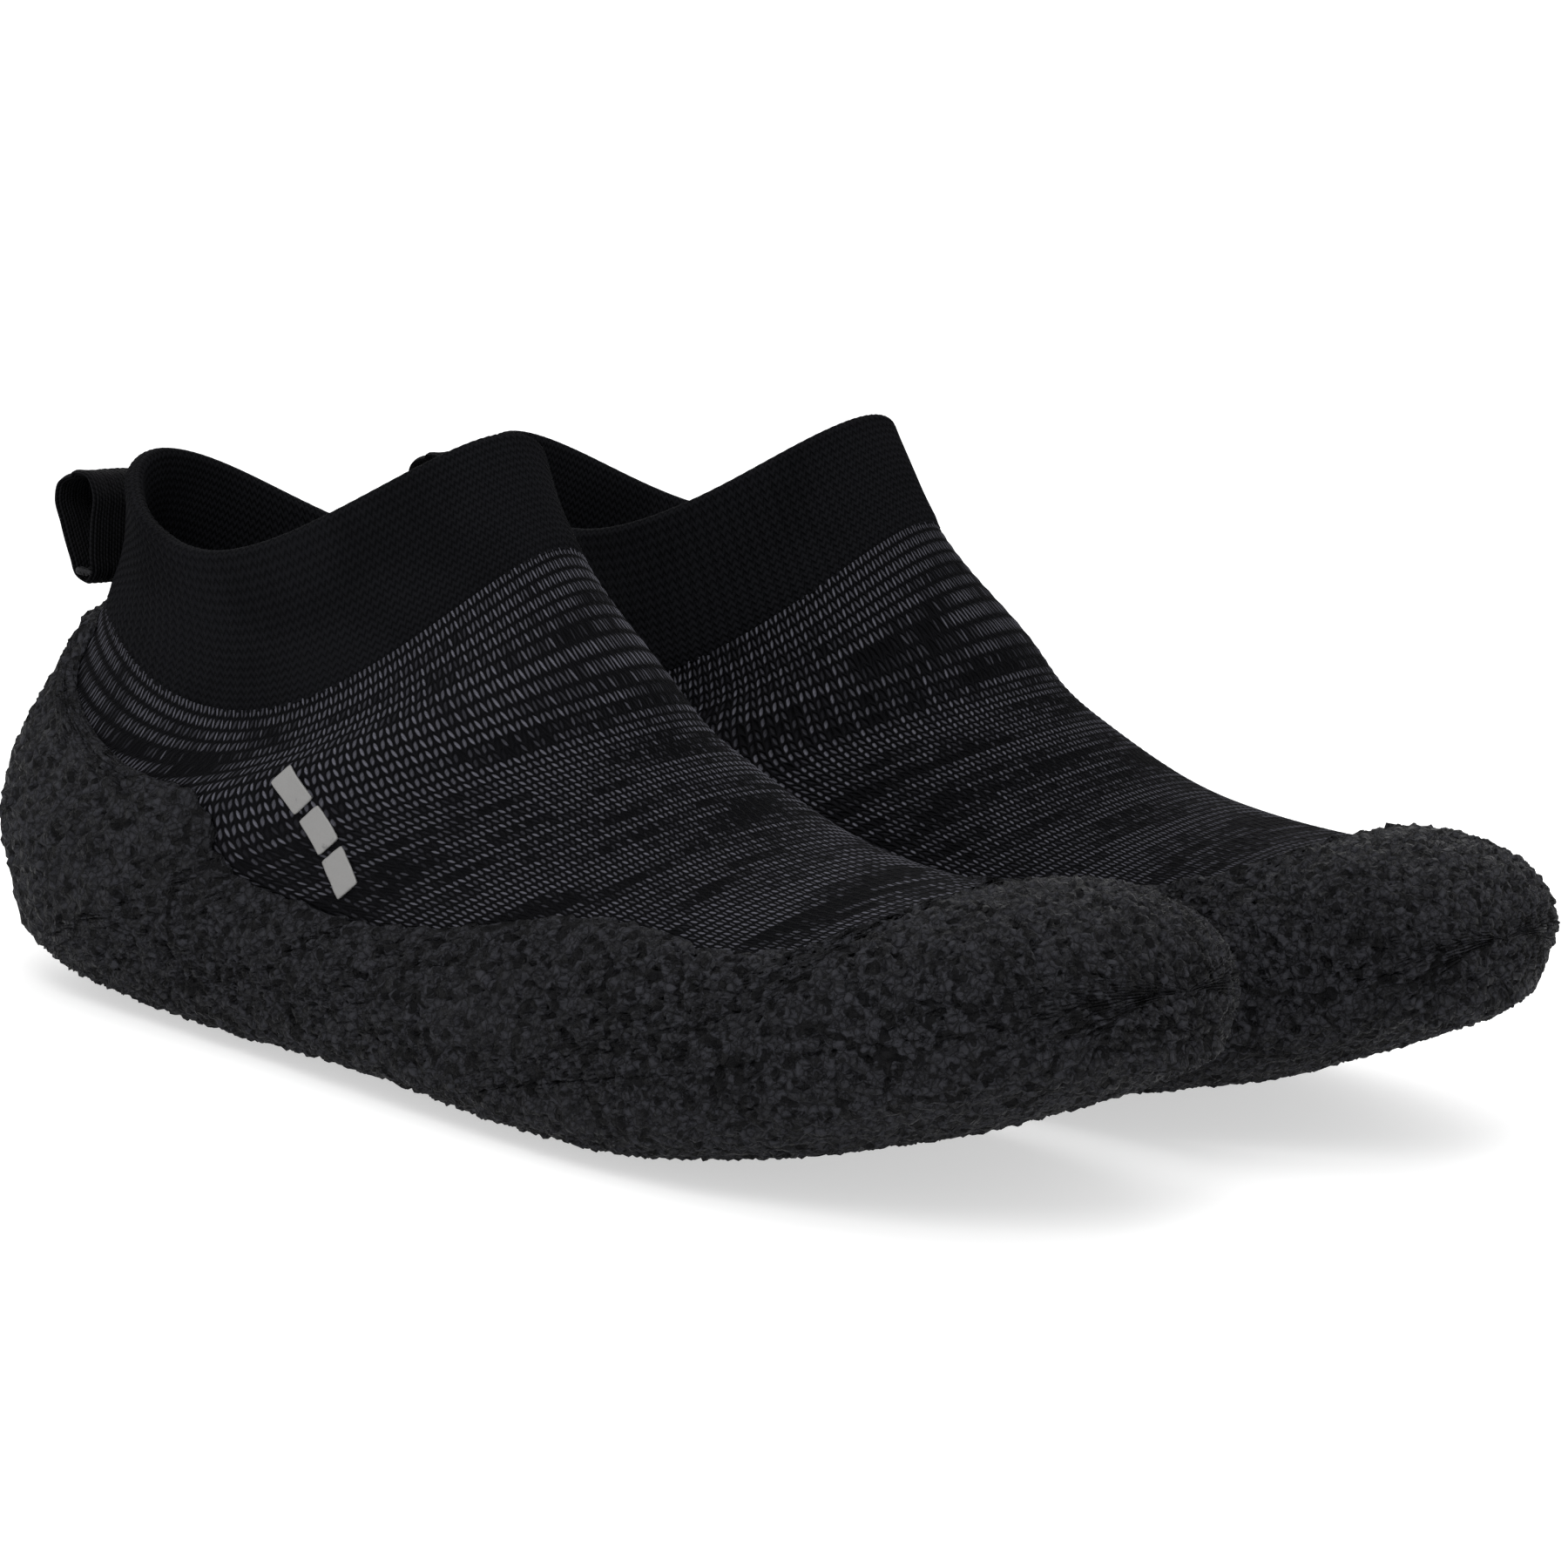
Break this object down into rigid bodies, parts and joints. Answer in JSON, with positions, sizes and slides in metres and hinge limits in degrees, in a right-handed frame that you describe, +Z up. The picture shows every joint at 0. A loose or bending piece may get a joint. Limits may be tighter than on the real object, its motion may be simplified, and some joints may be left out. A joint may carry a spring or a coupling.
{
  "type": "water shoe pair",
  "caption": "Pair of low knitted water shoes with folded rib cuffs, heel pull loops and a pressed rubber-crumb sole that wraps the toes, sides and heels.",
  "frame": {"origin": "centre of the pair's footprint box, on the floor that the soles stand on", "axes": "+X towards the toes, +Y to the wearer's left, +Z up"},
  "size_m": [0.261, 0.2062, 0.1155],
  "materials": {
    "crumb": "matt granulated rubber crumb",
    "melange_knit": "space-dyed flat knit",
    "rib_knit": "fine rib knit",
    "ribbon": "woven ribbon",
    "thread": "sewing thread",
    "insole_foam": "closed-cell foam",
    "insole_cloth": "plain woven cloth",
    "print": "silver-grey heat transfer"
  },
  "bodies": {
    "right_shoe": {"right_outsole_pad": "crumb", "right_granule_rand": "crumb", "right_knit_sock": "melange_knit", "right_rib_cuff": "rib_knit", "right_loop_tack": "thread", "right_side_print": "print", "right_toe_seam": "thread"},
    "right_loop": {"right_pull_loop": "ribbon"},
    "right_insole": {"right_insole_foam": "insole_foam", "right_insole_lining": "insole_cloth"},
    "left_shoe": {"left_outsole_pad": "crumb", "left_granule_rand": "crumb", "left_knit_sock": "melange_knit", "left_rib_cuff": "rib_knit", "left_loop_tack": "thread", "left_side_print": "print", "left_toe_seam": "thread"},
    "left_loop": {"left_pull_loop": "ribbon"},
    "left_insole": {"left_insole_foam": "insole_foam", "left_insole_lining": "insole_cloth"}
  },
  "joints": [
    {"name": "left_shoe_lift", "type": "slide", "parent": "right_shoe", "child": "left_shoe", "axis": [0, 0, 1], "range_m": [0, 0.25]},
    {"name": "right_loop_swing", "type": "hinge", "parent": "right_shoe", "child": "right_loop", "pos_m": [-0.11809, -0.05455, 0.07556], "axis": [0, -1, 0], "range_deg": [-12, 85], "stiffness_Nm_per_rad": 0.002},
    {"name": "left_loop_swing", "type": "hinge", "parent": "left_shoe", "child": "left_loop", "pos_m": [-0.11575, 0.0409, 0.07556], "axis": [0.0785, -0.9969, 0], "range_deg": [-12, 85], "stiffness_Nm_per_rad": 0.002},
    {"name": "right_insole_lift", "type": "hinge", "parent": "right_shoe", "child": "right_insole", "pos_m": [0.10984, -0.04455, 0.03], "axis": [0, 1, 0], "range_deg": [0, 7]},
    {"name": "left_insole_lift", "type": "hinge", "parent": "left_shoe", "child": "left_insole", "pos_m": [0.11226, 0.04882, 0.03], "axis": [-0.0785, 0.9969, 0], "range_deg": [0, 7]}
  ]
}
